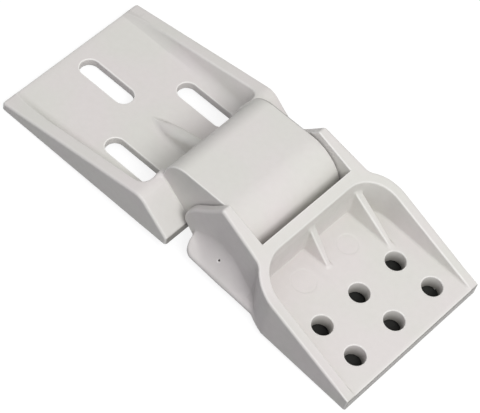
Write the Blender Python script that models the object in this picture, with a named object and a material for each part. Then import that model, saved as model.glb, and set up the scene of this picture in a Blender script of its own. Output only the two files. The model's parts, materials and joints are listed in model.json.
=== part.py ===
"""Chest freezer lid hinge: two moulded brackets on a steel axle, with a helical face cam
and two coaxial compression springs inside the lid bracket's drum.

Each bracket is drawn in millimetres in its own frame, whose origin lies on the hinge axis
(local Y). The two frames are empties, turned so that the hinge stands like a shallow tent
on its two free ends, with Z = 0 on the surface below and X along the hinge.
"""

import math

import bmesh
import bpy
from mathutils import Vector

MM = 0.001
GAP = 0.3                       # clearance between touching pieces

# Lid bracket, in the lid frame
LID_HALF_WIDTH = 29.0
LID_FAR_X = -79.8               # free edge of the slotted plate
LID_NEAR_X = -11.3              # foot of the slope beside the drum
LID_BASE_Z = -8.5
LID_FLOOR = 3.0                 # thickness of the slotted floor
RIDGE_X = -22.9                 # highest line of the side walls
RIDGE_Z = 4.4
SIDE_WALL = 4.0
RECESS_END_X = -26.3
SLOT_LENGTH = 20.8
SLOT_WIDTH = 6.6
SLOT_CENTRES = ((-64.3, 0.0), (-37.9, -15.6), (-37.9, 15.6))
GUSSET_TIP_X = -45.3
GUSSET_RISE = 0.33              # slope of the gusset's top
GUSSET_HALF_WIDTH = 2.2
GUSSET_TAPER = 11.0             # length over which it narrows to its tip
GUSSET_TAPER_STEPS = 5

# Drum of the lid bracket
DRUM_HALF_WIDTH = 18.8
DRUM_RADIUS = 13.46
DRUM_FLAT_END_X = -15.5         # where the flat top starts to round down
DRUM_BACK_X = -23.2
DRUM_BACK_RADIUS = 7.7
DRUM_WALL = 2.8                 # closed left end wall
BORE_RADIUS = 7.0
KEY_RADIUS = 8.9                # reach of the two key grooves
KEY_GROOVE = 3.8                # width of a key groove
KEY_GROOVE_START_Y = -2.0
RING_GROOVE_RADIUS = 7.6
RING_Y = (17.8, 18.5)

# Cabinet bracket, in the cabinet frame
CABINET_HALF_WIDTH = 29.3
CABINET_FREE_X = 61.4
CABINET_BASE_Z = -8.8
CABINET_FLOOR = 5.0
WALL_X = 14.3                   # back wall face next to the drum
WALL_THICKNESS = 4.4
WALL_TOP_Z = 12.3
EAR_INNER_Y = DRUM_HALF_WIDTH + GAP
EAR_OUTER_Y = 22.2
EAR_APEX = (0.4, 16.4)
EAR_BACK = ((-4.8, 9.7), (-9.6, 4.2), (-11.0, 0.2), (-10.9, -3.0), (-8.6, -6.6))
FLANGE_HALF_WIDTH = 27.0
FLANGE_EDGE = 1.2
FLANGE_KINK_X = 22.4
FLANGE_RAMP_TOP_Z = 0.5
FLANGE_BACK_X = -6.2
FLANGE_CORNER_RADIUS = 4.2
POCKET_CORNER_RADIUS = 10.2
POCKET_HALF_WIDTH = 25.3
POCKET_END_HALF_WIDTH = 26.2
CORNER_WALL = CABINET_HALF_WIDTH - POCKET_HALF_WIDTH
HOLE_RADIUS = 3.3
HOLE_ROWS = ((39.7, 0.0, 16.3), (52.7, 0.9, 17.2))   # X, middle Y, spacing
RIBS = ((-0.3, 28.1, 6.0), (19.1, 35.8, 6.7))   # middle Y, foot end X, top Z
RIB_THICKNESS = 2.0

# Mechanism on the hinge axis
AXLE_RADIUS = 3.0
AXLE_RUNNING = 3.1              # bore radius of every piece the axle turns in
AXLE_HEAD_RADIUS = 4.4
AXLE_HEAD = 1.2
AXLE_FLAT_Z = 2.0               # flat of the D-shaped end
AXLE_BLIND_Y = -21.0            # blind end of the D-shaped hole
HEAD_SEAT_Y = 20.4
BUSH_RADIUS = 4.4
CAM_RADIUS = 6.6
CAM_BORE = 3.3
CAM_PITCH = 1.4                 # millimetres of slide for each radian of lid travel
CAM_LOBES = 2
LID_TRAVEL = math.radians(90.0)
CAM_SPARE = math.radians(3.0)   # turn left between the steps at full travel
CAM_STEPS = 30                  # facets in one lobe
FIXED_CAM_LOW_Y = 7.4
FIXED_CAM_BACK_Y = 14.0
SLIDING_CAM_BACK_Y = 1.9
SLIDING_KEY = 2.4
PIN_RADIUS = 1.0
PIN_HALF_LENGTH = 6.3
PIN_Y = 11.6
PIN_ANGLE = math.radians(35.0)
OUTER_SPRING = (4.9, 6.5)       # inner and outer radius of the coil
INNER_SPRING = (3.3, 4.5)
SPRING_SEAT_Y = (-15.6, -14.6)
SPRING_WASHER = 0.8
THRUST_WASHER_Y = (14.3, 15.0)
END_PLUG_Y = (15.3, 17.5)

ROUND = 48                      # facets around a full circle
PLAIN = 32                      # facets around a small hidden circle

# How far the hinge is folded past flat, and how it stands on its two free ends
TENT_ANGLE = math.radians(5.48)


def tent_pose():
    """Return the turn of each bracket about Y and the place of the axis above the ground."""
    lid_foot = Vector((LID_FAR_X, LID_BASE_Z))
    swing = TENT_ANGLE
    cabinet_foot = Vector((
        CABINET_FREE_X * math.cos(swing) + CABINET_BASE_Z * math.sin(swing),
        -CABINET_FREE_X * math.sin(swing) + CABINET_BASE_Z * math.cos(swing)))
    ground = cabinet_foot - lid_foot
    lid_turn = math.atan2(ground.y, ground.x)
    cabinet_turn = lid_turn + swing
    lid_foot_z = -LID_FAR_X * math.sin(lid_turn) + LID_BASE_Z * math.cos(lid_turn)
    lid_top = LID_BASE_Z + LID_FLOOR
    far_x = LID_FAR_X * math.cos(lid_turn) + lid_top * math.sin(lid_turn)
    cabinet_top = CABINET_BASE_Z + CABINET_FLOOR
    free_x = CABINET_FREE_X * math.cos(cabinet_turn) + cabinet_top * math.sin(cabinet_turn)
    return lid_turn, cabinet_turn, (-(far_x + free_x) / 2, 0.0, -lid_foot_z)


def clear_scene():
    for item in list(bpy.data.objects):
        bpy.data.objects.remove(item, do_unlink=True)


def material(name, colour, roughness, metallic=0.0):
    finish = bpy.data.materials.new(name)
    finish.use_nodes = True
    shader = finish.node_tree.nodes["Principled BSDF"]
    shader.inputs["Base Color"].default_value = (*colour, 1.0)
    shader.inputs["Roughness"].default_value = roughness
    shader.inputs["Metallic"].default_value = metallic
    return finish


def frame_empty(name, turn, place):
    empty = bpy.data.objects.new(name, None)
    bpy.context.collection.objects.link(empty)
    empty.location = [value * MM for value in place]
    empty.rotation_euler = (0.0, turn, 0.0)
    return empty


def add_object(name, bm, frame):
    """Turn a mesh drawn in millimetres into an object in the given frame."""
    bmesh.ops.recalc_face_normals(bm, faces=bm.faces)
    bmesh.ops.scale(bm, vec=(MM, MM, MM), verts=bm.verts)
    mesh = bpy.data.meshes.new(name)
    bm.to_mesh(mesh)
    bm.free()
    item = bpy.data.objects.new(name, mesh)
    bpy.context.collection.objects.link(item)
    item.parent = frame
    return item


def finish_object(item, finish, smooth=False):
    item.data.materials.append(finish)
    if smooth:
        item.data.shade_smooth()
        item.data.set_sharp_from_angle(angle=math.radians(35.0))
    return item


def prism(name, frame, outline, low, high, along):
    """Extrude a closed outline. along is Y for an XZ outline, Z for XY and X for YZ."""
    place = {
        "X": lambda a, b, t: (t, a, b),
        "Y": lambda a, b, t: (a, t, b),
        "Z": lambda a, b, t: (a, b, t),
    }[along]
    bm = bmesh.new()
    start = [bm.verts.new(place(a, b, low)) for a, b in outline]
    end = [bm.verts.new(place(a, b, high)) for a, b in outline]
    bm.faces.new(start)
    bm.faces.new(reversed(end))
    count = len(outline)
    for i in range(count):
        j = (i + 1) % count
        bm.faces.new((start[j], start[i], end[i], end[j]))
    return add_object(name, bm, frame)


def turned(name, frame, rings, steps, inner=0.0):
    """Revolve (y, radius) rings about the hinge axis, solid or around an inner bore."""
    bm = bmesh.new()

    def ring(y, radius):
        turn = 2 * math.pi / steps
        return [bm.verts.new((radius * math.sin(i * turn), y, radius * math.cos(i * turn)))
                for i in range(steps)]

    loops = [ring(y, radius) for y, radius in rings]
    if inner:
        loops.append(ring(rings[-1][0], inner))
        loops.append(ring(rings[0][0], inner))
        loops.append(loops[0])
    else:
        bm.faces.new(loops[0])
        bm.faces.new(loops[-1])
    for first, second in zip(loops, loops[1:]):
        for i in range(steps):
            j = (i + 1) % steps
            bm.faces.new((first[i], first[j], second[j], second[i]))
    return add_object(name, bm, frame)


def combine(target, tool, operation):
    """Apply a tool to a target as a Boolean modifier and hide the tool."""
    tool.hide_render = True
    tool.display_type = "WIRE"
    step = target.modifiers.new(tool.name, "BOOLEAN")
    step.operation = operation
    step.solver = "EXACT"
    step.object = tool


def arc(centre, radius, start, stop, steps):
    """Points on an arc, angles in degrees, both ends included."""
    points = []
    for i in range(steps + 1):
        angle = math.radians(start + (stop - start) * i / steps)
        points.append((centre[0] + radius * math.cos(angle), centre[1] + radius * math.sin(angle)))
    return points


def mirrored(outline):
    """Close a right-hand half outline with its mirror image across Y = 0."""
    return outline + [(x, -y) for x, y in reversed(outline)]


def slot_outline(x, y):
    straight = (SLOT_LENGTH - SLOT_WIDTH) / 2
    radius = SLOT_WIDTH / 2
    return arc((x + straight, y), radius, -90, 90, 10) + arc((x - straight, y), radius, 90, 270, 10)


def key_outline(reach, width):
    """Bar across the axis that forms the two keys or their grooves."""
    return [(-reach, -width / 2), (reach, -width / 2), (reach, width / 2), (-reach, width / 2)]


def lid_bracket(frame, plastic):
    plate_profile = [
        (LID_FAR_X, LID_BASE_Z), (LID_NEAR_X, LID_BASE_Z), (LID_NEAR_X, LID_BASE_Z + LID_FLOOR),
        (RIDGE_X, RIDGE_Z), (LID_FAR_X, LID_BASE_Z + LID_FLOOR)]
    bracket = prism("lid_bracket", frame, plate_profile, -LID_HALF_WIDTH, LID_HALF_WIDTH, "Y")

    recess_half = LID_HALF_WIDTH - SIDE_WALL
    floor_z = LID_BASE_Z + LID_FLOOR
    recess = prism("recess_cutter", frame, [
        (LID_FAR_X - 1, floor_z), (RECESS_END_X, floor_z), (RECESS_END_X, DRUM_RADIUS),
        (LID_FAR_X - 1, DRUM_RADIUS)], -recess_half, recess_half, "Y")
    combine(bracket, recess, "DIFFERENCE")

    foot_angle = math.degrees(math.asin(LID_BASE_Z / DRUM_RADIUS))
    back_top = (DRUM_BACK_X + DRUM_BACK_RADIUS, DRUM_RADIUS - DRUM_BACK_RADIUS)
    drum_profile = arc((0, 0), DRUM_RADIUS, foot_angle, 90, 22)
    drum_profile += arc(back_top, DRUM_BACK_RADIUS, 90, 180, 8)
    drum_profile += [
        (DRUM_BACK_X, LID_BASE_Z + 1), (LID_NEAR_X - 1, LID_BASE_Z + 1),
        (LID_NEAR_X - 1, LID_BASE_Z)]
    drum = prism("drum_block", frame, drum_profile, -DRUM_HALF_WIDTH, DRUM_HALF_WIDTH, "Y")
    combine(bracket, drum, "UNION")

    combine(bracket, gusset_block(frame, floor_z), "UNION")

    for index, (x, y) in enumerate(SLOT_CENTRES):
        slot = prism(f"slot_cutter_{index + 1}", frame, slot_outline(x, y),
                     LID_BASE_Z - 1, floor_z + 1, "Z")
        combine(bracket, slot, "DIFFERENCE")

    bore_end = DRUM_HALF_WIDTH + 1
    bore_start = DRUM_WALL - DRUM_HALF_WIDTH
    bore = turned("bore_cutter", frame, [
        (bore_start, BORE_RADIUS), (RING_Y[0], BORE_RADIUS), (RING_Y[0], RING_GROOVE_RADIUS),
        (RING_Y[1], RING_GROOVE_RADIUS), (RING_Y[1], BORE_RADIUS), (bore_end, BORE_RADIUS)], ROUND)
    combine(bracket, bore, "DIFFERENCE")
    grooves = prism("groove_cutter", frame, key_outline(KEY_RADIUS, KEY_GROOVE),
                    KEY_GROOVE_START_Y, bore_end, "Y")
    combine(bracket, grooves, "DIFFERENCE")
    bush_hole = turned("bush_hole_cutter", frame, [
        (-DRUM_HALF_WIDTH - 1, BUSH_RADIUS + GAP), (bore_start + 1, BUSH_RADIUS + GAP)], PLAIN)
    combine(bracket, bush_hole, "DIFFERENCE")
    return finish_object(bracket, plastic)


def gusset_block(frame, floor_z):
    """Narrow rib with a sloping top that runs from the slotted floor up the back of the drum."""
    root_x = DRUM_BACK_X + 1
    sunk = floor_z - 1
    half = [(root_x, -GUSSET_HALF_WIDTH)]
    for step in range(GUSSET_TAPER_STEPS):
        short = step / GUSSET_TAPER_STEPS
        half.append((GUSSET_TIP_X + GUSSET_TAPER * (1 - short), -GUSSET_HALF_WIDTH * (1 - short ** 2)))
    plan = half + [(GUSSET_TIP_X, 0.0)] + [(x, -y) for x, y in reversed(half)]
    top_z = floor_z + GUSSET_RISE * (root_x - GUSSET_TIP_X)
    block = prism("gusset_block", frame, plan, sunk, top_z + 1, "Z")
    slope = [(GUSSET_TIP_X - 1, sunk - 1), (root_x + 1, sunk - 1), (root_x + 1, top_z + GUSSET_RISE),
             (GUSSET_TIP_X, floor_z), (GUSSET_TIP_X - 1, floor_z)]
    side = prism("gusset_side_block", frame, slope, -GUSSET_HALF_WIDTH - 1, GUSSET_HALF_WIDTH + 1, "Y")
    combine(block, side, "INTERSECT")
    return block


def cabinet_plan():
    """Outer outline of the cabinet bracket from above, with the notch for the drum."""
    half = [
        (WALL_X, EAR_INNER_Y), (-12.0, EAR_INNER_Y), (-12.0, EAR_OUTER_Y - 0.4),
        (0.0, EAR_OUTER_Y)]
    half += arc(pocket_corner(), POCKET_CORNER_RADIUS + CORNER_WALL, 144, 90, 6)
    half.append((CABINET_FREE_X, CABINET_HALF_WIDTH))
    return mirrored(half)


def pocket_corner():
    """Centre of the rounded corner that the pocket and the outer wall share."""
    return (WALL_X + WALL_THICKNESS + POCKET_CORNER_RADIUS, POCKET_HALF_WIDTH - POCKET_CORNER_RADIUS)


def pocket_plan():
    """Outline of the screw pocket: rounded back corners, open at the free end."""
    half = arc(pocket_corner(), POCKET_CORNER_RADIUS, 180, 90, 8)
    half += [(CABINET_FREE_X + 1, POCKET_END_HALF_WIDTH)]
    return mirrored(half)


def flange(frame, side):
    """Foot flange outside one ear, with a ramp up to the ear."""
    corner_y = FLANGE_HALF_WIDTH - FLANGE_CORNER_RADIUS
    corner = (FLANGE_BACK_X + FLANGE_CORNER_RADIUS, corner_y)
    plan = arc(corner, FLANGE_CORNER_RADIUS, 180, 90, 8)
    plan += [(FLANGE_KINK_X, FLANGE_HALF_WIDTH), (28.5, CABINET_HALF_WIDTH - 0.1)]
    plan += [(28.5, EAR_INNER_Y + 1), (FLANGE_BACK_X, EAR_INNER_Y + 1)]
    plan = [(x, side * y) for x, y in plan]
    foot_top = CABINET_BASE_Z + FLANGE_EDGE
    section = [
        (EAR_INNER_Y, CABINET_BASE_Z), (CABINET_HALF_WIDTH + 2, CABINET_BASE_Z),
        (CABINET_HALF_WIDTH + 2, foot_top), (FLANGE_HALF_WIDTH, foot_top),
        (EAR_OUTER_Y, FLANGE_RAMP_TOP_Z), (EAR_INNER_Y, FLANGE_RAMP_TOP_Z)]
    section = [(side * y, z) for y, z in section]
    label = "left" if side < 0 else "right"
    block = prism(f"flange_block_{label}", frame, plan, CABINET_BASE_Z, FLANGE_RAMP_TOP_Z + 1, "Z")
    ramp = prism(f"flange_ramp_{label}", frame, section, -20.0, 40.0, "X")
    combine(block, ramp, "INTERSECT")
    return block


def cabinet_bracket(frame, plastic):
    bracket = prism("cabinet_bracket", frame, cabinet_plan(), CABINET_BASE_Z, 20.0, "Z")
    floor_z = CABINET_BASE_Z + CABINET_FLOOR
    side_profile = [(-7.0, CABINET_BASE_Z), (CABINET_FREE_X + 1, CABINET_BASE_Z),
                    (CABINET_FREE_X + 1, floor_z), (CABINET_FREE_X, floor_z),
                    (WALL_X, WALL_TOP_Z), EAR_APEX, *EAR_BACK]
    profile = prism("side_profile_block", frame, side_profile, -40.0, 40.0, "Y")
    combine(bracket, profile, "INTERSECT")
    for side in (-1, 1):
        combine(bracket, flange(frame, side), "UNION")

    pocket = prism("pocket_cutter", frame, pocket_plan(), floor_z, 25.0, "Z")
    combine(bracket, pocket, "DIFFERENCE")

    inner_x = WALL_X + WALL_THICKNESS
    for index, (middle_y, foot_x, top_z) in enumerate(RIBS):
        outline = [(inner_x - 1, floor_z - 1), (foot_x, floor_z - 1), (foot_x, floor_z),
                   (inner_x + 1, top_z), (inner_x - 1, top_z)]
        rib = prism(f"rib_block_{index + 1}", frame, outline,
                    middle_y - RIB_THICKNESS / 2, middle_y + RIB_THICKNESS / 2, "Y")
        combine(bracket, rib, "UNION")

    for row, (x, middle_y, spacing) in enumerate(HOLE_ROWS):
        for column in (-1, 0, 1):
            centre = (x, middle_y + column * spacing)
            outline = arc(centre, HOLE_RADIUS, 0, 345, 23)
            hole = prism(f"hole_cutter_{row + 1}_{column + 2}", frame, outline,
                         CABINET_BASE_Z - 1, floor_z + 1, "Z")
            combine(bracket, hole, "DIFFERENCE")

    key_shape = d_outline(AXLE_RADIUS + GAP / 2, AXLE_FLAT_Z + GAP / 2)
    keyhole = prism("axle_key_cutter", frame, key_shape,
                    AXLE_BLIND_Y - GAP, -EAR_INNER_Y + 1, "Y")
    combine(bracket, keyhole, "DIFFERENCE")
    head_seat = turned("axle_head_cutter", frame, [
        (EAR_INNER_Y - 1, AXLE_RADIUS + GAP), (HEAD_SEAT_Y, AXLE_RADIUS + GAP),
        (HEAD_SEAT_Y, AXLE_HEAD_RADIUS + GAP), (CABINET_HALF_WIDTH, AXLE_HEAD_RADIUS + GAP)], PLAIN)
    combine(bracket, head_seat, "DIFFERENCE")
    return finish_object(bracket, plastic)


def d_outline(radius, flat_z):
    """Circle cut by a flat above the axis."""
    edge = math.degrees(math.asin(flat_z / radius))
    return arc((0, 0), radius, 180 - edge, 360 + edge, 24)


def axle(frame, steel):
    head_y = HEAD_SEAT_Y + GAP
    pin = turned("axle", frame, [
        (AXLE_BLIND_Y, AXLE_RADIUS), (head_y, AXLE_RADIUS), (head_y, AXLE_HEAD_RADIUS),
        (head_y + AXLE_HEAD, AXLE_HEAD_RADIUS)], PLAIN)
    flat = prism("axle_flat_cutter", frame, [
        (-AXLE_RADIUS - 1, AXLE_FLAT_Z), (AXLE_RADIUS + 1, AXLE_FLAT_Z),
        (AXLE_RADIUS + 1, AXLE_RADIUS + 1), (-AXLE_RADIUS - 1, AXLE_RADIUS + 1)],
        AXLE_BLIND_Y - 1, -EAR_INNER_Y, "Y")
    combine(pin, flat, "DIFFERENCE")
    combine(pin, cross_hole(frame, "axle_pin_hole_cutter"), "DIFFERENCE")
    return finish_object(pin, steel, smooth=True)


def cross_bar(name, frame, radius, half_length):
    """Cylinder across the axis at the pin's place and angle."""
    bm = bmesh.new()
    along = Vector((math.sin(PIN_ANGLE), 0.0, math.cos(PIN_ANGLE)))
    side = Vector((math.cos(PIN_ANGLE), 0.0, -math.sin(PIN_ANGLE)))
    up = Vector((0.0, 1.0, 0.0))
    steps = 16
    rings = []
    for end in (-half_length, half_length):
        middle = Vector((0.0, PIN_Y, 0.0)) + along * end
        rings.append([bm.verts.new(middle + side * (radius * math.cos(2 * math.pi * i / steps))
                                   + up * (radius * math.sin(2 * math.pi * i / steps)))
                      for i in range(steps)])
    bm.faces.new(rings[0])
    bm.faces.new(rings[1])
    for i in range(steps):
        j = (i + 1) % steps
        bm.faces.new((rings[0][i], rings[0][j], rings[1][j], rings[1][i]))
    return add_object(name, bm, frame)


def cross_hole(frame, name):
    return cross_bar(name, frame, PIN_RADIUS + 0.1, CAM_RADIUS + 1)


def cam_pin(frame, steel):
    pin = cross_bar("cam_pin", frame, PIN_RADIUS, PIN_HALF_LENGTH)
    return finish_object(pin, steel, smooth=True)


def cam_ring(name, frame, back_y, face_y, phase):
    """Ring between a flat back and a face of helical lobes.

    face_y is the face's level at the start of a lobe, and it rises along +Y by CAM_PITCH
    for each radian. phase turns the lobes' starts back about the axis.
    """
    bm = bmesh.new()
    lobe = 2 * math.pi / CAM_LOBES
    columns = []
    for number in range(CAM_LOBES):
        for step in range(CAM_STEPS + 1):
            angle = number * lobe + lobe * step / CAM_STEPS - phase
            columns.append((angle, face_y + CAM_PITCH * lobe * step / CAM_STEPS))

    def point(radius, angle, y):
        return bm.verts.new((radius * math.sin(angle), y, radius * math.cos(angle)))

    count = len(columns)
    row = CAM_STEPS + 1
    face_inner = [point(CAM_BORE, angle, y) for angle, y in columns]
    face_outer = [point(CAM_RADIUS, angle, y) for angle, y in columns]
    back_inner = []
    back_outer = []
    for index, (angle, _) in enumerate(columns):
        if index % row == 0 and index:
            back_inner.append(back_inner[-1])
            back_outer.append(back_outer[-1])
        elif index == count - 1:
            back_inner.append(back_inner[0])
            back_outer.append(back_outer[0])
        else:
            back_inner.append(point(CAM_BORE, angle, back_y))
            back_outer.append(point(CAM_RADIUS, angle, back_y))

    def wall(face, back, i, j):
        """Side wall of one facet, whose tall edge takes in the foot of the step beside it."""
        loop = [face[i], face[j]]
        if back_y < face_y and j % row == row - 1:
            loop.append(face[(j + 1) % count])
        loop += [back[j], back[i]]
        if back_y > face_y and i % row == 0:
            loop.append(face[i - 1])
        bm.faces.new(loop)

    for i in range(count):
        j = (i + 1) % count
        bm.faces.new((face_inner[i], face_inner[j], face_outer[j], face_outer[i]))
        if i % row == row - 1:
            continue
        wall(face_outer, back_outer, i, j)
        wall(face_inner, back_inner, i, j)
        bm.faces.new((back_outer[i], back_outer[j], back_inner[j], back_inner[i]))
    return add_object(name, bm, frame)


def fixed_cam(frame, acetal):
    cam = cam_ring("fixed_cam", frame, FIXED_CAM_BACK_Y, FIXED_CAM_LOW_Y, 0.0)
    combine(cam, cross_hole(frame, "cam_pin_hole_cutter"), "DIFFERENCE")
    return finish_object(cam, acetal)


def sliding_cam(frame, acetal):
    """Cam that slides in the drum, in mesh with the fixed cam once the lid is fully open."""
    start = LID_TRAVEL + CAM_SPARE
    face_y = FIXED_CAM_LOW_Y - CAM_PITCH * start - GAP
    cam = cam_ring("sliding_cam", frame, SLIDING_CAM_BACK_Y, face_y, start - TENT_ANGLE)
    keys = prism("sliding_key_block", frame, key_outline(KEY_RADIUS - GAP, KEY_GROOVE - 2 * GAP),
                 SLIDING_CAM_BACK_Y, SLIDING_CAM_BACK_Y + SLIDING_KEY, "Y")
    opening = turned("sliding_key_cutter", frame, [
        (SLIDING_CAM_BACK_Y - 1, CAM_BORE + 0.5), (SLIDING_CAM_BACK_Y + SLIDING_KEY + 1, CAM_BORE + 0.5)],
        PLAIN)
    combine(keys, opening, "DIFFERENCE")
    combine(cam, keys, "UNION")
    return finish_object(cam, acetal)


def tube(name, frame, ends, outer, inner, finish, steps=PLAIN):
    piece = turned(name, frame, [(ends[0], outer), (ends[1], outer)], steps, inner)
    return finish_object(piece, finish, smooth=True)


def end_plug(frame, plastic):
    plug = turned("end_plug", frame, [
        (END_PLUG_Y[0], BORE_RADIUS - GAP), (END_PLUG_Y[1], BORE_RADIUS - GAP)],
        ROUND, BUSH_RADIUS + GAP)
    keys = prism("plug_key_block", frame, key_outline(KEY_RADIUS - GAP, KEY_GROOVE - 2 * GAP),
                 END_PLUG_Y[0], END_PLUG_Y[1], "Y")
    opening = turned("plug_key_cutter", frame, [
        (END_PLUG_Y[0] - 1, BUSH_RADIUS + 1), (END_PLUG_Y[1] + 1, BUSH_RADIUS + 1)], PLAIN)
    combine(keys, opening, "DIFFERENCE")
    combine(plug, keys, "UNION")
    return finish_object(plug, plastic)


def retaining_ring(frame, steel):
    """Internal ring, open over a short stretch at the bottom."""
    outer = RING_GROOVE_RADIUS - GAP / 2
    inner = BORE_RADIUS - 1.2
    outline = arc((0, 0), outer, -65, 245, 40) + arc((0, 0), inner, 245, -65, 40)
    ring = prism("retaining_ring", frame, outline, RING_Y[0] + 0.05, RING_Y[1] - 0.05, "Y")
    return finish_object(ring, steel)


def build():
    clear_scene()
    lid_turn, cabinet_turn, axis_place = tent_pose()
    lid = frame_empty("lid_frame", lid_turn, axis_place)
    cabinet = frame_empty("cabinet_frame", cabinet_turn, axis_place)

    white = material("moulded_white", (0.72, 0.70, 0.66), 0.45)
    acetal = material("natural_acetal", (0.80, 0.79, 0.74), 0.35)
    steel = material("zinc_plated_steel", (0.55, 0.56, 0.58), 0.35, 1.0)
    spring_steel = material("spring_steel", (0.30, 0.31, 0.33), 0.30, 1.0)

    cabinet_bracket(cabinet, white)
    axle(cabinet, steel)
    cam_pin(cabinet, steel)
    fixed_cam(cabinet, acetal)

    lid_bracket(lid, white)
    end_plug(lid, acetal)
    retaining_ring(lid, spring_steel)
    wall_end = DRUM_WALL - DRUM_HALF_WIDTH
    tube("bush_left", lid, (-DRUM_HALF_WIDTH + GAP, wall_end - 0.1), BUSH_RADIUS, AXLE_RUNNING, acetal)
    tube("bush_right", lid, END_PLUG_Y, BUSH_RADIUS, AXLE_RUNNING, acetal)
    tube("spring_seat", lid, SPRING_SEAT_Y, BORE_RADIUS - GAP, AXLE_RUNNING + 0.1, steel)
    tube("thrust_washer", lid, THRUST_WASHER_Y, BORE_RADIUS - GAP, AXLE_RUNNING + 0.1, steel)

    sliding_cam(lid, acetal)
    washer_end = SLIDING_CAM_BACK_Y - GAP
    washer_start = washer_end - SPRING_WASHER
    tube("spring_washer", lid, (washer_start, washer_end), BORE_RADIUS - GAP, AXLE_RUNNING + 0.1, steel)
    coil_ends = (SPRING_SEAT_Y[1] + GAP, washer_start - GAP)
    tube("outer_spring", lid, coil_ends, OUTER_SPRING[1], OUTER_SPRING[0], spring_steel)
    tube("inner_spring", lid, coil_ends, INNER_SPRING[1], INNER_SPRING[0], spring_steel)


build()
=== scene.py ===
"""Looks of the chest freezer lid hinge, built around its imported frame.

Both brackets are drawn as distance fields in millimetres, each in its own frame with the
hinge axis as local Y, so that each moulded edge and inner corner gets its own radius.
surface_net() turns a field into a mesh, and field_piece() places it on the CAD frame.
"""

import json
import math

import bpy
import numpy as np
from mathutils import Matrix, Vector


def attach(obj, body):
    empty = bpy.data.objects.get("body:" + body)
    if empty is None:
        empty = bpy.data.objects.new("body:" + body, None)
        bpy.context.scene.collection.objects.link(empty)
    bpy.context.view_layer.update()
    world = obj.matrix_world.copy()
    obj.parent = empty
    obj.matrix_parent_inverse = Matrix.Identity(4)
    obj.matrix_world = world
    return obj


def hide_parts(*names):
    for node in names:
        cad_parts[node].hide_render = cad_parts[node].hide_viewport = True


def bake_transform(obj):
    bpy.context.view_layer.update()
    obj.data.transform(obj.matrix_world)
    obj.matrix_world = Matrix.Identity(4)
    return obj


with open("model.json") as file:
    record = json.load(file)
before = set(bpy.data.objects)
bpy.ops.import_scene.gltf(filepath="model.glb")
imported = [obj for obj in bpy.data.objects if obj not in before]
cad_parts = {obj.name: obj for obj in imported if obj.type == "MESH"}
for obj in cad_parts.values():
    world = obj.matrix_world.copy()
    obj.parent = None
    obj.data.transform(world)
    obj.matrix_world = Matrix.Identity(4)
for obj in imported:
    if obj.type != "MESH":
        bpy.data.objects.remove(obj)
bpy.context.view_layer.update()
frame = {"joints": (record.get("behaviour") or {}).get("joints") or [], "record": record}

MM = 0.001

# Camera and studio, in metres. The camera sees the surroundings as plain white. The sky
# lights the object, from the horizon's strength up to the one overhead.
CAMERA_PLACE = Vector((0.212422, -0.341937, 0.580704))
CAMERA_AIM = Vector((0.002175, -0.000156, -0.000878))
CAMERA_ROLL = math.radians(13.856)
CAMERA_LENS = 177.55
SENSOR = 36.0
SKY = (0.36, 0.76)
SKY_COLOURS = ((0.98, 0.975, 1.04), (1.0, 1.0, 0.96))   # towards -Y and +Y
SKY_TURN = 0.8                  # height of a direction's Y at which a colour is full
HORIZON = (-0.02, 0.04)         # heights of a direction's Z over which its light fades in
KEY_PLACE = (0.80, -0.36, 1.09)
KEY_SIZE = 0.6
KEY_ENERGY = 11.2
FLOOR_GLOW = 0.85
FLOOR_REACH = 3.0
FLOOR_Z = -0.0004
# The black card is painted shade: a dark sheet under the screw holes, seen through them where the
# floor would be lit.
CARD_SPAN_X = (0.0443, 0.0650)  # black card under the screw holes
CARD_HALF_Y = 0.0215
CARD_Z = -0.0002

# Mesh fineness: grid step in millimetres, and share of the faces kept by thinning
BRACKET_MESH = (0.36, 0.4)
METAL_MESH = (0.2, 0.3)

# Shared by both mouldings, in millimetres
DEEP = 6.0                      # how far outlines run past a face that another plane cuts
PAST = 1.0                      # how far voids run past the face they open through
FLOOR_BURY = 2.0                # how deep ribs run into the floor under them
HIDDEN_EDGE = 0.5               # rounding of a rib's ends inside another shape
FOOT_EDGE = 0.35

# Lid bracket, in the lid frame, in millimetres
LID_HALF_WIDTH = 29.0
LID_FAR_X = -79.8
LID_NEAR_X = -11.3
LID_BASE_Z = -8.5
LID_FLOOR_Z = -5.5
LID_EDGE = 0.9
LID_NEAR_REACH = 0.6            # a reach is how far a drawn corner is eased, see softened()
RIDGE = (-22.9, 4.4)
RIDGE_REACH = 2.6
RECESS_HALF_WIDTH = 25.0
RECESS_END_X = -25.2
RECESS_CORNER = 4.0
RECESS_FILLET = 3.0             # along the foot of the recess walls
RECESS_EDGE = 0.5
RECESS_DRAFT = 0.35             # lean of the recess walls, sideways for each unit of height
SLOT_LENGTH = 20.8
SLOT_WIDTH = 6.6
SLOT_EDGE = 0.3
SLOT_CENTRES = ((-64.3, 0.0), (-37.9, -15.6), (-37.9, 15.6))
GUSSET_TIP_X = -45.3
GUSSET_ROOT_X = -22.0
GUSSET_RISE = 0.33              # slope of its top
GUSSET_MIDDLE_Y = 0.35
GUSSET_HALF_WIDTH = 2.55
GUSSET_DRAFT = 0.1
GUSSET_EDGE = 1.5
GUSSET_FILLET = 1.0
GUSSET_TAPER = 11.0             # length over which it narrows to its tip
DRUM_SHADOW_Y = 17.0            # the recess runs on under the drum within this half width

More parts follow.
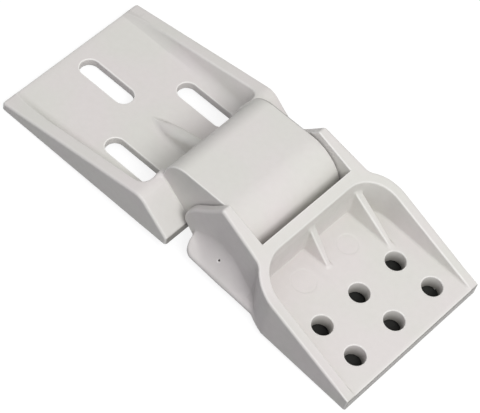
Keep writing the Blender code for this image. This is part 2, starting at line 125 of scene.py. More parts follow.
# Drum, in the lid frame
DRUM_HALF_WIDTH = 18.65
DRUM_RADIUS = 13.46
DRUM_FLAT_END_X = -15.5
DRUM_BACK_RADIUS = 7.7
DRUM_BACK_FOOT_X = -26.4
DRUM_BACK_STOP = 172            # degrees round the back at which it drops to its foot
DRUM_EDGE = 0.3
DRUM_FILLET = (0.4, (2.8, 22.0, 26.0))      # see varied(); grows going back
VOID_EDGE = 0.25                # rims of the drum's openings and of the screw holes
BORE_RADIUS = 7.0
BORE_START_Y = -16.0
KEY_RADIUS = 8.9
KEY_GROOVE = 3.8
KEY_GROOVE_START_Y = -2.0
RING_GROOVE_RADIUS = 7.6
RING_Y = (17.8, 18.5)
BUSH_HOLE_RADIUS = 4.7
DRUM_TOP = 13.6                 # the grid's limit past the drum, at its front and top

# Cabinet bracket, in the cabinet frame
CABINET_HALF_WIDTH = 29.3
CABINET_FREE_X = 61.4
CABINET_BASE_Z = -8.8
CABINET_FLOOR_Z = -3.8
CABINET_EDGE = (1.0, (-0.2, 8.0, 20.0), (-0.5, 55.0, 60.0))     # see varied()
WALL_X = 14.3
WALL_INNER_X = 18.7
WALL_TOP_Z = 12.3
EAR_INNER_Y = 19.1
EAR_OUTER_Y = 22.2
EAR_SLANT = 0.5                 # how far its outer face leans in towards the back
EAR_EDGE = 0.3
EAR_APEX = (0.4, 16.4)
EAR_GRID = (-11.0, 16.5)        # the grid's limits behind it and above it
EAR_PLAN_BACK_X = -14.0
EAR_REACHES = (0.8, 1.4, 2.0)   # at its apex, down its back, and in its outer face
WALL_REACHES = (1.5, 1.6)       # at its top, and where its corner meets the ear
FREE_REACH = 0.3
CORNER_ARC = (141, 90)          # degrees at which the outer corner's arc starts and stops
CORNER_LEAN = 0.13              # how the outer corners draw in towards the free end, going down
LEAN_TOP_Z = 9.0
LEAN_DEPTH = 18.0
LEAN_FADE = (24.0, 34.0)        # stretch along X over which the lean ends
EAR_BACK = ((-4.8, 9.7), (-9.6, 4.2), (-11.5, -0.2), (-11.4, -3.3), (-6.4, -7.4))
POCKET_CORNER_RADIUS = 10.2
POCKET_HALF_WIDTH = 25.3
POCKET_END_HALF_WIDTH = 26.2
POCKET_DRAFT = 0.05
POCKET_FILLET = 0.6
POCKET_EDGE = 0.45
FLANGE_CORNER = (-2.0, 22.8)    # middle of its rounded back corner
FLANGE_CORNER_RADIUS = 4.2
FLANGE_HALF_WIDTH = 27.0
FLANGE_KINK_X = 22.4
FLANGE_FRONT = (28.5, 29.2)
FLANGE_INNER_Y = 15.0
FLANGE_TOP_Z = -7.6
FLANGE_SLOPE = 0.78
FLANGE_EDGE = 0.5
FLANGE_INNER_EDGE = 0.2
FLANGE_BURY = 0.5               # how far it stops short of the ear's inner face
FLANGE_FILLET = (0.8, (4.6, -8.0, 4.0), (-4.2, 8.0, 20.0))      # see varied()
HOLE_RADIUS = 3.3
HOLE_DRAFT = 0.09
HOLE_ROWS = ((39.7, 0.0, 16.3), (52.7, 0.9, 17.2))      # X, middle Y and spacing
RIBS = ((-0.3, 28.1, 6.0), (19.1, 35.8, 6.7))           # middle Y, foot X and top Z
RIB_HALF_THICKNESS = (1.15, 0.55)       # at the wall and at the foot
RIB_DRAFT = 0.03
RIB_EDGE = 0.45
RIB_FILLET = 0.7
RIB_BURY = 3.0                  # how far ribs run into the wall behind them
GATE = (5.0, -23.4, -4.1)       # scar of the moulding gate, a fine slanting pit
GATE_SLANT = (0.3, -0.5, 0.8)
GATE_RADIUS = 0.34
GATE_DEPTH = 1.2
SEAT_EDGE = 0.12                # rims of the gate scar and the axle's seats
MOULD_MARKS = ((26.3, -9.7, 4.0), (26.4, 9.5, 3.5))     # middle and radius
MARK_DEPTH = 0.10
MARK_RIM = 0.15

# Axle and springs
AXLE_RADIUS = 3.0
AXLE_HEAD_RADIUS = 4.4
AXLE_ENDS = (-21.0, 20.7, 21.9)         # Y of its tip, and of its head's two faces
AXLE_FLAT_Z = 2.0
AXLE_TIP_EDGE = 0.4
HEAD_EDGE = 0.35
HEAD_FILLET = 0.2
CUT_EDGE = 0.15                 # edges of its flat and of its pin hole
HEAD_SEAT_Y = 20.4
KEYED_GAP = 0.15                # play round the axle where it is keyed, and elsewhere
FREE_GAP = 0.3
PIN_Y = 11.6
PIN_ANGLE = math.radians(35.0)
PIN_HOLE_RADIUS = 1.1
# CAD node, coil radius, wire radius and turns
SPRINGS = (("outer_spring", 5.7, 0.78, 6.0), ("inner_spring", 3.9, 0.55, 8.5))
SPRING_CLOSED_TURNS = 1.0
SPRING_CLOSED_PITCH = 2.02      # in wire radii
SPRING_ENDS_Y = (-14.3, 0.5)

# Painted shade on the white plastic, by place. 0 leaves it as it is, and 1 makes it the darkest
# painted shade.
# They stand in for shade on the photographed object, and were matched to it.
HOLE_TONE = 0.9
END_TONE = (0.35, 0.6)          # all over the free end, and what its two edges add
GAP_TONE = 0.8
POCKET_TONE = 0.12
FLANK_TONE = 0.08
NEAR_END_TONE = 1.0
RIM_TONE = 0.7
DRUM_FRONT_TONE = 0.14
RECESS_TONE = 0.13

# Where those tones lie, in millimetres. A pair is the start and stop of a ramp.
NEAR_HOLE = 0.1
END_EDGES = (1.0, 2.3)          # distance from mid height
END_SKIN = 0.25
BEHIND_AXIS = (-2.0, 6.0)       # for the gap and the rim
GAP_SKIN = (0.1, 0.2)           # outside the drum's profile, and off the ear's inner face
POCKET_SKIN = 0.5
POCKET_FROM_WALL = (0.3, 9.0)
POCKET_HEIGHT = (6.0, 9.0)
POCKET_RIGHT = (-12.0, 4.0)
POCKET_RIGHT_LOSS = 0.7         # share of the tone that is gone on its right side
FLANK_Y = (25.5, 28.0)
FLANK_X = (22.0, 30.0)
NEAR_END_SKIN = 0.3
RIM_SKIN = (0.45, 0.1, 0.4)     # inwards and outwards along Y, and off the drum's profile
DRUM_FRONT_X = (8.5, 12.5)
DRUM_FRONT_DEPTH = (-9.5, -6.0)
RECESS_SKIN = (3.0, 0.3)        # inwards and outwards of the recess's side
RECESS_FAR = (42.0, 62.0)


# ---- Frames of the two brackets ------------------------------------------------------

def mount(name):
    """A mount of the frame's record."""
    return next(item for item in frame["record"]["mounts"] if item["name"] == name)


def bracket_frame(face):
    """Place of a bracket's own frame, from the tilt of its mounting face."""
    down = mount(face)["axis"]
    turn = math.atan2(-down[0], -down[2])
    hinge = next(joint for joint in frame["joints"] if joint["name"] == "lid_hinge")
    return Matrix.Translation(hinge["pos_m"]) @ Matrix.Rotation(turn, 4, "Y")


LID_FRAME = bracket_frame("lid_plate_back")
CABINET_FRAME = bracket_frame("cabinet_plate_back")


# ---- Distance fields -----------------------------------------------------------------

def common(first, second, radius):
    """Overlap of two fields, with its new edge rounded."""
    meeting = np.hypot(np.maximum(radius + first, 0), np.maximum(radius + second, 0))
    return np.minimum(-radius, np.maximum(first, second)) + meeting


def joined(first, second, radius):
    """Union of two fields, with a fillet where they meet."""
    meeting = np.hypot(np.maximum(radius - first, 0), np.maximum(radius - second, 0))
    return np.maximum(radius, np.minimum(first, second)) - meeting


def cut(body, void, radius):
    """Body without the void, with its new edge rounded."""
    return common(body, -void, radius)


def outline_field(outline, a, b):
    """Signed distance from points to a closed flat outline, negative inside."""
    nearest = np.inf
    inside = False
    for (a0, b0), (a1, b1) in zip(outline, outline[1:] + outline[:1]):
        run, rise = a1 - a0, b1 - b0
        share = np.clip(((a - a0) * run + (b - b0) * rise) / (run * run + rise * rise), 0, 1)
        nearest = np.minimum(nearest, (a - a0 - share * run) ** 2 + (b - b0 - share * rise) ** 2)
        if rise:
            inside = inside ^ (((b0 > b) != (b1 > b)) & (a < a0 + (b - b0) * run / rise))
    return np.where(inside, -1.0, 1.0) * np.sqrt(nearest)


def arc(centre, radius, start, stop, steps):
    """Points on an arc, angles in degrees, both ends included."""
    angles = [math.radians(start + (stop - start) * i / steps) for i in range(steps + 1)]
    return [(centre[0] + radius * math.cos(t), centre[1] + radius * math.sin(t)) for t in angles]


def softened(corners, steps=5):
    """Closed outline through (a, b, reach) corners, each eased over its reach."""
    outline = []
    for i, (a, b, reach) in enumerate(corners):
        here = Vector((a, b))
        if not reach:
            outline.append((a, b))
            continue
        start = here + (Vector(corners[i - 1][:2]) - here).normalized() * reach
        stop = here + (Vector(corners[(i + 1) % len(corners)][:2]) - here).normalized() * reach
        for step in range(steps + 1):
            t = step / steps
            outline.append(tuple(start * (1 - t) ** 2 + here * (2 * t * (1 - t)) + stop * t * t))
    return outline


def ramp(value, start, stop):
    """Smooth step from 0 to 1 between start and stop."""
    share = np.clip((value - start) / (stop - start), 0, 1)
    return share * share * (3 - 2 * share)


def varied(value, result, *changes):
    """result, plus the amount of each (amount, start, stop) as value passes its ramp."""
    for amount, start, stop in changes:
        result = result + amount * ramp(value, start, stop)
    return result


# ---- Lid bracket ---------------------------------------------------------------------

# Boxes like this one hold a field's surface to within a step or so. The net reaches past.
LID_BOX = ((LID_FAR_X, -LID_HALF_WIDTH, LID_BASE_Z), (DRUM_TOP, LID_HALF_WIDTH, DRUM_TOP))

LID_PROFILE = softened([
    (LID_FAR_X, LID_BASE_Z - DEEP, 0.0), (LID_NEAR_X, LID_BASE_Z - DEEP, 0.0),
    (LID_NEAR_X, LID_FLOOR_Z, LID_NEAR_REACH), (*RIDGE, RIDGE_REACH),
    (LID_FAR_X, LID_FLOOR_Z, LID_EDGE)])

RECESS_PLAN = softened([
    (LID_FAR_X - DEEP, -DEEP, 0.0), (GUSSET_ROOT_X, -DEEP, 0.0),
    (GUSSET_ROOT_X, DRUM_SHADOW_Y, 0.0), (RECESS_END_X, DRUM_SHADOW_Y, 0.0),
    (RECESS_END_X, RECESS_HALF_WIDTH, RECESS_CORNER),
    (LID_FAR_X - DEEP, RECESS_HALF_WIDTH, 0.0)])

DRUM_FOOT = math.degrees(math.asin(LID_BASE_Z / DRUM_RADIUS))
DRUM_PROFILE = arc((0, 0), DRUM_RADIUS, DRUM_FOOT - 8, 90, 36)
DRUM_PROFILE += arc((DRUM_FLAT_END_X, DRUM_RADIUS - DRUM_BACK_RADIUS), DRUM_BACK_RADIUS,
                    90, DRUM_BACK_STOP, 16)
DRUM_PROFILE += [(DRUM_BACK_FOOT_X, LID_FLOOR_Z), (DRUM_BACK_FOOT_X, LID_BASE_Z - PAST),
                 (0.0, LID_BASE_Z - PAST)]


def gusset_field(x, y, z):
    """Narrow rib with a sloping rounded top, from the recess floor up the drum's back."""
    short = 1 - np.clip((x - GUSSET_TIP_X) / GUSSET_TAPER, 0, 1)
    width = np.abs(y - GUSSET_MIDDLE_Y) - GUSSET_HALF_WIDTH * (1 - short * short)
    width = width + GUSSET_DRAFT * (z - LID_FLOOR_Z)
    top = z - LID_FLOOR_Z - GUSSET_RISE * (x - GUSSET_TIP_X)
    rib = common(width, top / math.hypot(1, GUSSET_RISE), GUSSET_EDGE)
    rib = common(rib, x - GUSSET_ROOT_X - GUSSET_EDGE, HIDDEN_EDGE)
    return common(rib, LID_FLOOR_Z - FLOOR_BURY - z, HIDDEN_EDGE)


def drum_voids(x, y, z):
    """Stepped bore, key grooves, ring groove and bush hole, as one void."""
    radius = np.hypot(x, z)
    bore = np.maximum(radius - BORE_RADIUS, BORE_START_Y - y)
    grooves = np.maximum(np.maximum(np.abs(x) - KEY_RADIUS, np.abs(z) - KEY_GROOVE / 2),
                         KEY_GROOVE_START_Y - y)
    ring = np.maximum(radius - RING_GROOVE_RADIUS, np.maximum(RING_Y[0] - y, y - RING_Y[1]))
    bush = np.maximum(radius - BUSH_HOLE_RADIUS, y - BORE_START_Y - PAST)
    return np.minimum(np.minimum(bore, grooves), np.minimum(ring, bush))


def lid_field(x, y, z):
    """Sloping plate with its recess, gusset and slots, and the drum across its near end."""
    side = np.abs(y)
    body = common(outline_field(LID_PROFILE, x, z), side - LID_HALF_WIDTH, LID_EDGE)

    rise = (RIDGE[1] - LID_FLOOR_Z) / (RIDGE[0] - LID_FAR_X)
    wall_top = LID_FLOOR_Z + (x - LID_FAR_X) * rise
    recess = outline_field(RECESS_PLAN, x, side) + RECESS_DRAFT * (wall_top - z)
    recess = common(recess / math.hypot(1, RECESS_DRAFT), LID_FLOOR_Z - z, RECESS_FILLET)
    body = cut(body, recess, RECESS_EDGE)

    drum = common(outline_field(DRUM_PROFILE, x, z), side - DRUM_HALF_WIDTH, DRUM_EDGE)
    body = joined(body, drum, varied(-x, *DRUM_FILLET))
    body = joined(body, gusset_field(x, y, z), GUSSET_FILLET)

    for slot_x, slot_y in SLOT_CENTRES:
        past = np.maximum(np.abs(x - slot_x) - (SLOT_LENGTH - SLOT_WIDTH) / 2, 0)
        slot = np.maximum(np.hypot(past, y - slot_y) - SLOT_WIDTH / 2, z)
        body = cut(body, slot, SLOT_EDGE)
    body = cut(body, drum_voids(x, y, z), VOID_EDGE)
    return common(body, LID_BASE_Z - z, FOOT_EDGE)


# ---- Cabinet bracket -----------------------------------------------------------------

CABINET_BOX = ((EAR_GRID[0], -CABINET_HALF_WIDTH, CABINET_BASE_Z),
               (CABINET_FREE_X, CABINET_HALF_WIDTH, EAR_GRID[1]))

CORNER = (WALL_INNER_X + POCKET_CORNER_RADIUS, POCKET_HALF_WIDTH - POCKET_CORNER_RADIUS)
OUTER_CORNER_RADIUS = CABINET_HALF_WIDTH - CORNER[1]

# Half outlines from above, closed past the middle line
CABINET_PLAN = softened(
    [(EAR_PLAN_BACK_X, -DEEP, 0.0), (EAR_PLAN_BACK_X, EAR_OUTER_Y - EAR_SLANT, 0.0),
     (0.0, EAR_OUTER_Y, EAR_REACHES[2])]
    + [(*point, 0.0 if i else WALL_REACHES[1])
       for i, point in enumerate(arc(CORNER, OUTER_CORNER_RADIUS, *CORNER_ARC, 12))]
    + [(CABINET_FREE_X, CABINET_HALF_WIDTH, FREE_REACH), (CABINET_FREE_X, -DEEP, 0.0)])

POCKET_PLAN = (
    [(WALL_INNER_X, -DEEP)] + arc(CORNER, POCKET_CORNER_RADIUS, 180, 90, 16)
    + [(CABINET_FREE_X + DEEP, POCKET_END_HALF_WIDTH), (CABINET_FREE_X + DEEP, -DEEP)])

SIDE_PROFILE = softened([
    (EAR_BACK[-1][0], CABINET_BASE_Z - DEEP, 0.0),
    (CABINET_FREE_X + DEEP, CABINET_BASE_Z - DEEP, 0.0),
    (CABINET_FREE_X + DEEP, CABINET_FLOOR_Z, 0.0),
    (CABINET_FREE_X, CABINET_FLOOR_Z, FREE_REACH),
    (WALL_X, WALL_TOP_Z, WALL_REACHES[0]), (*EAR_APEX, EAR_REACHES[0])]
    + [(*point, EAR_REACHES[1]) for point in EAR_BACK])

FLANGE_PLAN = (
    arc(FLANGE_CORNER, FLANGE_CORNER_RADIUS, 180, 90, 10)
    + [(FLANGE_KINK_X, FLANGE_HALF_WIDTH), FLANGE_FRONT, (FLANGE_FRONT[0], FLANGE_INNER_Y),
       (FLANGE_CORNER[0] - FLANGE_CORNER_RADIUS, FLANGE_INNER_Y)])


def flange_field(x, side, z):
    """Foot flange whose top ramps up towards the ear."""
    slope = z - FLANGE_TOP_Z - (FLANGE_HALF_WIDTH - side) * FLANGE_SLOPE
    block = common(outline_field(FLANGE_PLAN, x, side), slope / math.hypot(1, FLANGE_SLOPE),
                   FLANGE_EDGE)
    return common(block, EAR_INNER_Y + FLANGE_BURY - side, FLANGE_INNER_EDGE)


def gate_field(x, y, z):
    """Fine round pit along a slanting line."""
    slant = np.array(GATE_SLANT) / np.linalg.norm(GATE_SLANT)
    away = (x - GATE[0], y - GATE[1], z - GATE[2])
    along = sum(step * part for step, part in zip(slant, away))
    across = sum(part * part for part in away) - along * along
    return np.maximum(np.sqrt(np.maximum(across, 0)) - GATE_RADIUS, -GATE_DEPTH - along)


def rib_field(x, y, z, middle_y, foot_x, top_z):
    """Thin rib that slopes from the pocket's back wall down to its floor."""
    fall = top_z - CABINET_FLOOR_Z
    reach = foot_x - WALL_INNER_X
    slope = ((x - WALL_INNER_X) * fall + (z - top_z) * reach) / math.hypot(fall, reach)
    thick, thin = RIB_HALF_THICKNESS
    half = thick - (thick - thin) * ramp(x, WALL_INNER_X, foot_x)
    width = np.abs(y - middle_y) - half - RIB_DRAFT * (top_z - z)
    rib = common(width, slope, RIB_EDGE)
    rib = common(rib, WALL_INNER_X - RIB_BURY - x, HIDDEN_EDGE)
    return common(rib, CABINET_FLOOR_Z - FLOOR_BURY - z, HIDDEN_EDGE)


def axle_seats(x, y, z):
    """D-shaped blind hole in the left ear and the headed end's seat in the right one."""
    radius = np.hypot(x, z)
    key = np.maximum(
        np.maximum(radius - AXLE_RADIUS - KEYED_GAP, z - AXLE_FLAT_Z - KEYED_GAP),
        np.maximum(AXLE_ENDS[0] - FREE_GAP - y, y + EAR_INNER_Y - PAST))
    shank = np.maximum(radius - AXLE_RADIUS - FREE_GAP, EAR_INNER_Y - PAST - y)
    head = np.maximum(radius - AXLE_HEAD_RADIUS - FREE_GAP, HEAD_SEAT_Y - y)
    return np.minimum(key, np.minimum(shank, head))


def hole_distances(x, y):
    """Distance from each screw hole's axis."""
    return [np.hypot(x - row_x, y - middle_y - column * spacing)
            for row_x, middle_y, spacing in HOLE_ROWS for column in (-1, 0, 1)]


def cabinet_field(x, y, z):
    """Screw plate and pocket, the wall behind it, and the two ears with their flanges."""
    side = np.abs(y)
    drawn = CORNER_LEAN * np.clip(LEAN_TOP_Z - z, 0, LEAN_DEPTH) * (1 - ramp(x, *LEAN_FADE))
    body = common(outline_field(CABINET_PLAN, x - drawn, side),
                  outline_field(SIDE_PROFILE, x, z), varied(x, *CABINET_EDGE))
    body = joined(body, flange_field(x, side, z), varied(x, *FLANGE_FILLET))
    notch = np.maximum(x - WALL_X, side - EAR_INNER_Y)
    body = cut(body, notch, EAR_EDGE)

    floor = CABINET_FLOOR_Z
    for mark_x, mark_y, radius in MOULD_MARKS:
        away = np.hypot(x - mark_x, y - mark_y)
        floor = floor - MARK_DEPTH * ramp(-away, -radius - MARK_RIM, -radius + MARK_RIM)
    pocket = outline_field(POCKET_PLAN, x, side) - POCKET_DRAFT * (z - CABINET_FLOOR_Z)
    body = cut(body, common(pocket, floor - z, POCKET_FILLET), POCKET_EDGE)
    for rib in RIBS:
        body = joined(body, rib_field(x, y, z, *rib), RIB_FILLET)

    for away in hole_distances(x, y):
        hole = away - HOLE_RADIUS + HOLE_DRAFT * (CABINET_FLOOR_Z - z)
        body = cut(body, hole, VOID_EDGE)
    body = cut(body, np.minimum(gate_field(x, y, z), axle_seats(x, y, z)), SEAT_EDGE)
    return common(body, CABINET_BASE_Z - z, FOOT_EDGE)


# ---- Painted shade on the white plastic ----------------------------------------------

def cabinet_shade(x, y, z):
    """Painted shade deep in the screw holes, on the free end, between the ears and the drum,
    at the back of the pocket and on the left flank."""
    near_hole = np.minimum.reduce(hole_distances(x, y)) < HOLE_RADIUS + NEAR_HOLE
    hole = HOLE_TONE * ramp(-z, -CABINET_FLOOR_Z, -CABINET_BASE_Z) * near_hole

    from_middle = np.abs(z - (CABINET_FLOOR_Z + CABINET_BASE_Z) / 2)
    all_over, at_edges = END_TONE
    end = all_over + at_edges * ramp(from_middle, *END_EDGES)
    end = end * ramp(x, CABINET_FREE_X - END_SKIN, CABINET_FREE_X)

    on_drum = outline_field(DRUM_PROFILE, x, z) < GAP_SKIN[0]
    gap = GAP_TONE * ramp(-x, *BEHIND_AXIS) * on_drum
    gap = gap * (np.abs(np.abs(y) - EAR_INNER_Y) < GAP_SKIN[1])

    start, stop = POCKET_FROM_WALL
    inside = (np.abs(y) < POCKET_HALF_WIDTH) * (x > WALL_INNER_X - POCKET_SKIN)
    pocket = POCKET_TONE * (1 - ramp(x, WALL_INNER_X + start, WALL_INNER_X + stop))
    pocket = pocket * (1 - ramp(z, *POCKET_HEIGHT)) * inside
    pocket = pocket * (1 - POCKET_RIGHT_LOSS * ramp(y, *POCKET_RIGHT))

    flank = FLANK_TONE * ramp(-y, *FLANK_Y) * ramp(x, *FLANK_X)
    return np.maximum.reduce([hole, end, gap, pocket, flank])


def lid_shade(x, y, z):
    """Painted shade on the low face at the near end, on the rim of the drum's right end and its
    lower front, and on the far part of the recess's right wall."""
    low = ramp(-z, -LID_FLOOR_Z - NEAR_END_SKIN, -LID_FLOOR_Z + NEAR_END_SKIN)
    low = low * (np.abs(y) > DRUM_HALF_WIDTH)
    near_end = NEAR_END_TONE * ramp(x, LID_NEAR_X - NEAR_END_SKIN, LID_NEAR_X) * low

    inwards, outwards, off = RIM_SKIN
    rim = (y > DRUM_HALF_WIDTH - inwards) * (y < DRUM_HALF_WIDTH + outwards)
    rim = rim * (np.abs(outline_field(DRUM_PROFILE, x, z)) < off)
    rim = RIM_TONE * rim * ramp(-x, *BEHIND_AXIS)

    front = DRUM_FRONT_TONE * ramp(x, *DRUM_FRONT_X) * ramp(-z, *DRUM_FRONT_DEPTH)
    inwards, outwards = RECESS_SKIN
    wall = (y > RECESS_HALF_WIDTH - inwards) * (y < RECESS_HALF_WIDTH + outwards)
    wall = RECESS_TONE * wall * ramp(-x, *RECESS_FAR)
    return np.maximum.reduce([near_end, rim, front, wall])


# ---- Axle ----------------------------------------------------------------------------

AXLE_BOX = ((-AXLE_HEAD_RADIUS, AXLE_ENDS[0], -AXLE_HEAD_RADIUS),
            (AXLE_HEAD_RADIUS, AXLE_ENDS[2], AXLE_HEAD_RADIUS))


def axle_field(x, y, z):
    """Headed pin with a flat at its keyed end and a hole across it for the cam's pin."""
    radius = np.hypot(x, z)
    start, seat, end = AXLE_ENDS
    shank = common(radius - AXLE_RADIUS, start - y, AXLE_TIP_EDGE)
    shank = np.maximum(shank, y - seat - HEAD_FILLET)
    shank = cut(shank, np.maximum(AXLE_FLAT_Z - z, y + EAR_INNER_Y), CUT_EDGE)
    head = np.abs(y - (seat + end) / 2) - (end - seat) / 2
    head = common(radius - AXLE_HEAD_RADIUS, head, HEAD_EDGE)
    pin = joined(shank, head, HEAD_FILLET)
    across = x * math.cos(PIN_ANGLE) - z * math.sin(PIN_ANGLE)
    return cut(pin, np.hypot(across, y - PIN_Y) - PIN_HOLE_RADIUS, CUT_EDGE)


# ---- From a field to a mesh ----------------------------------------------------------

def net_places(values, cells):
    """Middle of the surface crossings on each cell's edges, in grid units."""
    total = np.zeros((len(cells), 3))
    hits = np.zeros(len(cells))
    for axis in range(3):
        for other in np.ndindex(2, 2):
            near = np.insert(np.array(other), axis, 0)
            far = np.insert(np.array(other), axis, 1)
            first = values[tuple((cells + near).T)]
            second = values[tuple((cells + far).T)]
            crossed = (first < 0) != (second < 0)
            share = np.where(crossed, first / np.where(crossed, first - second, 1), 0)
            total += (near + (far - near) * share[:, None]) * crossed[:, None]
            hits += crossed
    return cells + total / hits[:, None]


def net_faces(inside, index):
    """One four-sided face across each grid edge that crosses the surface."""
    faces = []
    for axis in range(3):
        u = np.eye(3, dtype=int)[(axis + 1) % 3]
        v = np.eye(3, dtype=int)[(axis + 2) % 3]
        ahead = np.roll(inside, -1, axis)
        edges = np.argwhere(inside != ahead)
        ring = [index[tuple((edges - shift).T)] for shift in (0 * u, u, u + v, v)]
        quads = np.stack(ring, axis=1)
        leaving = inside[tuple(edges.T)]
        quads[~leaving] = quads[~leaving][:, ::-1]
        faces.append(quads)
    return np.concatenate(faces)


def surface_net(field, box, step):
    """Points and faces of the surface where a field changes sign inside a box."""
    low, high = box
    axes = [np.arange(a - 2 * step, b + 3 * step, step) for a, b in zip(low, high)]
    x, y, z = np.meshgrid(*axes, indexing="ij", sparse=True)
    values = np.array(np.broadcast_to(field(x, y, z), [len(axis) for axis in axes]))
    inside = values < 0
    size = [count - 1 for count in values.shape]
    corners = [inside[i:i + size[0], j:j + size[1], k:k + size[2]]
               for i, j, k in np.ndindex(2, 2, 2)]
    full = np.sum(corners, axis=0)
    cells = np.argwhere((full > 0) & (full < 8))
    index = np.full(values.shape, -1)
    index[tuple(cells.T)] = np.arange(len(cells))
    origin = np.array([axis[0] for axis in axes])
    return origin + net_places(values, cells) * step, net_faces(inside, index)


def gradient(field, points, reach):
    """Outward slope of a field at points."""
    slope = np.empty_like(points)
    for axis in range(3):
        shift = np.zeros(3)
        shift[axis] = reach
        slope[:, axis] = field(*(points + shift).T) - field(*(points - shift).T)
    return slope / (2 * reach)


def bulge(field, points, reach):
    """How convex the surface is at points: above 0 on edges, below 0 in inner corners."""
    total = -6 * field(*points.T)
    for axis in range(3):
        shift = np.zeros(3)
        shift[axis] = reach
        total += field(*(points + shift).T) + field(*(points - shift).T)
    return total / reach


def new_mesh(name, points, faces):
    """Mesh from an array of points and an array of faces with equal corner counts."""
    mesh = bpy.data.meshes.new(name)
    mesh.vertices.add(len(points))
    mesh.vertices.foreach_set("co", points.astype(np.float32).ravel())
    mesh.loops.add(faces.size)
    mesh.loops.foreach_set("vertex_index", faces.astype(np.int32).ravel())
    mesh.polygons.add(len(faces))
    starts = np.arange(0, faces.size, faces.shape[1], dtype=np.int32)
    mesh.polygons.foreach_set("loop_start", starts)
    mesh.update(calc_edges=True)
    return mesh


def thinned(mesh, keep):
    """Collapse a mesh's flat stretches to a share of its faces."""
    helper = bpy.data.objects.new("helper", mesh)
    bpy.context.collection.objects.link(helper)
    step = helper.modifiers.new("thin", "DECIMATE")
    step.ratio = keep
    graph = bpy.context.evaluated_depsgraph_get()
    thin = bpy.data.meshes.new_from_object(helper.evaluated_get(graph))
    bpy.data.objects.remove(helper)
    bpy.data.meshes.remove(mesh)
    return thin


def settled(field, points, step):
    """Points moved onto the surface by two short steps along the field's slope."""
    for _ in range(2):
        slope = gradient(field, points, step / 4)
        length = np.maximum(np.sum(slope * slope, axis=1), 0.2)
        move = slope * (field(*points.T) / length)[:, None]
        points = points - np.clip(move, -step / 2, step / 2)
    return points


def store(mesh, name, values):
    """Keep one number for each point of a mesh, for its material to read."""
    layer = mesh.attributes.new(name, "FLOAT", "POINT")
    layer.data.foreach_set("value", values.astype(np.float32))


def field_piece(name, field, box, fineness, place, painted_shade=None):
    """Piece bounded by a field, with its normals and edge strengths read from the field."""
    step, keep = fineness
    mesh = thinned(new_mesh(name, *surface_net(field, box, step)), keep)
    points = np.empty(len(mesh.vertices) * 3)
    mesh.vertices.foreach_get("co", points)
    points = settled(field, points.reshape(-1, 3), step)
    normals = gradient(field, points, step / 2)
    normals /= np.linalg.norm(normals, axis=1)[:, None]
    # How convex each point is, for the painted highlights on edges and painted shade in inner
    # corners
    store(mesh, "edge", bulge(field, points, step))
    # Painted shade by place, when a function for it is given
    if painted_shade:
        store(mesh, "painted_shade", painted_shade(*points.T))
    mesh.vertices.foreach_set("co", points.astype(np.float32).ravel())
    mesh.name = name
    mesh.shade_smooth()
    mesh.normals_split_custom_set_from_vertices([tuple(normal) for normal in normals])
    mesh.transform(place @ Matrix.Scale(MM, 4))
    item = bpy.data.objects.new(name, mesh)
    bpy.context.collection.objects.link(item)
    return item


# ---- Materials -----------------------------------------------------------------------

def add_node(tree, kind, settings=(), **inputs):
    """Add a shader node. An input is a plain value or the socket that feeds it."""
    node = tree.nodes.new("ShaderNode" + kind)
    for key, value in dict(settings).items():
        setattr(node, key, value)
    for key, value in inputs.items():
        socket = node.inputs[key.replace("_", " ")]
        if isinstance(value, bpy.types.NodeSocket):
            tree.links.new(value, socket)
        else:
            socket.default_value = value
    return node


def new_material(name):
    """Empty material with its node tree and its shader."""
    finish = bpy.data.materials.new(name)
    finish.use_nodes = True
    tree = finish.node_tree
    return finish, tree, tree.nodes["Principled BSDF"]


def feed(tree, shader, **inputs):
    """Link sockets into a shader's inputs."""
    for key, value in inputs.items():
        tree.links.new(value, shader.inputs[key.replace("_", " ")])


def noise(tree, place, scale, detail):
    """Noise between 0 and 1 at a scale in cells for each metre."""
    return add_node(tree, "TexNoise", Vector=place, Scale=scale, Detail=detail).outputs["Fac"]


def spread_over(tree, value, low, high, start, stop):
    """Map a value from low..high to start..stop, held at both ends."""
    return add_node(tree, "MapRange", Value=value, From_Min=low, From_Max=high,
                    To_Min=start, To_Max=stop).outputs["Result"]


def mixed(tree, share, first, second):
    """Mix of two colours, each a plain value or a socket."""
    node = tree.nodes.new("ShaderNodeMix")
    node.data_type = "RGBA"
    tree.links.new(share, node.inputs["Factor"])
    for socket, value in ((node.inputs[6], first), (node.inputs[7], second)):
        if isinstance(value, bpy.types.NodeSocket):
            tree.links.new(value, socket)
        else:
            socket.default_value = (*value, 1.0)
    return node.outputs[2]


def bumped(tree, height, strength, distance, under=None):
    """Normal bumped by a height, on top of another bumped normal if there is one."""
    node = add_node(tree, "Bump", Height=height, Strength=strength, Distance=distance)
    if under:
        tree.links.new(under, node.inputs["Normal"])
    return node.outputs["Normal"]


WHITE_TINTS = ((0.672, 0.662, 0.625), (0.692, 0.656, 0.642))     # yellowish and pinkish
DUST = (0.52, 0.50, 0.46)
# Painted shade in inner corners
CORNER_SHADE = (0.40, 0.385, 0.34)
# Painted highlight along convex edges
EDGE_HIGHLIGHT = (0.84, 0.83, 0.80)
# Darkest colour of the painted shade stored on the mesh
SHADE_DARK = (0.22, 0.21, 0.19)


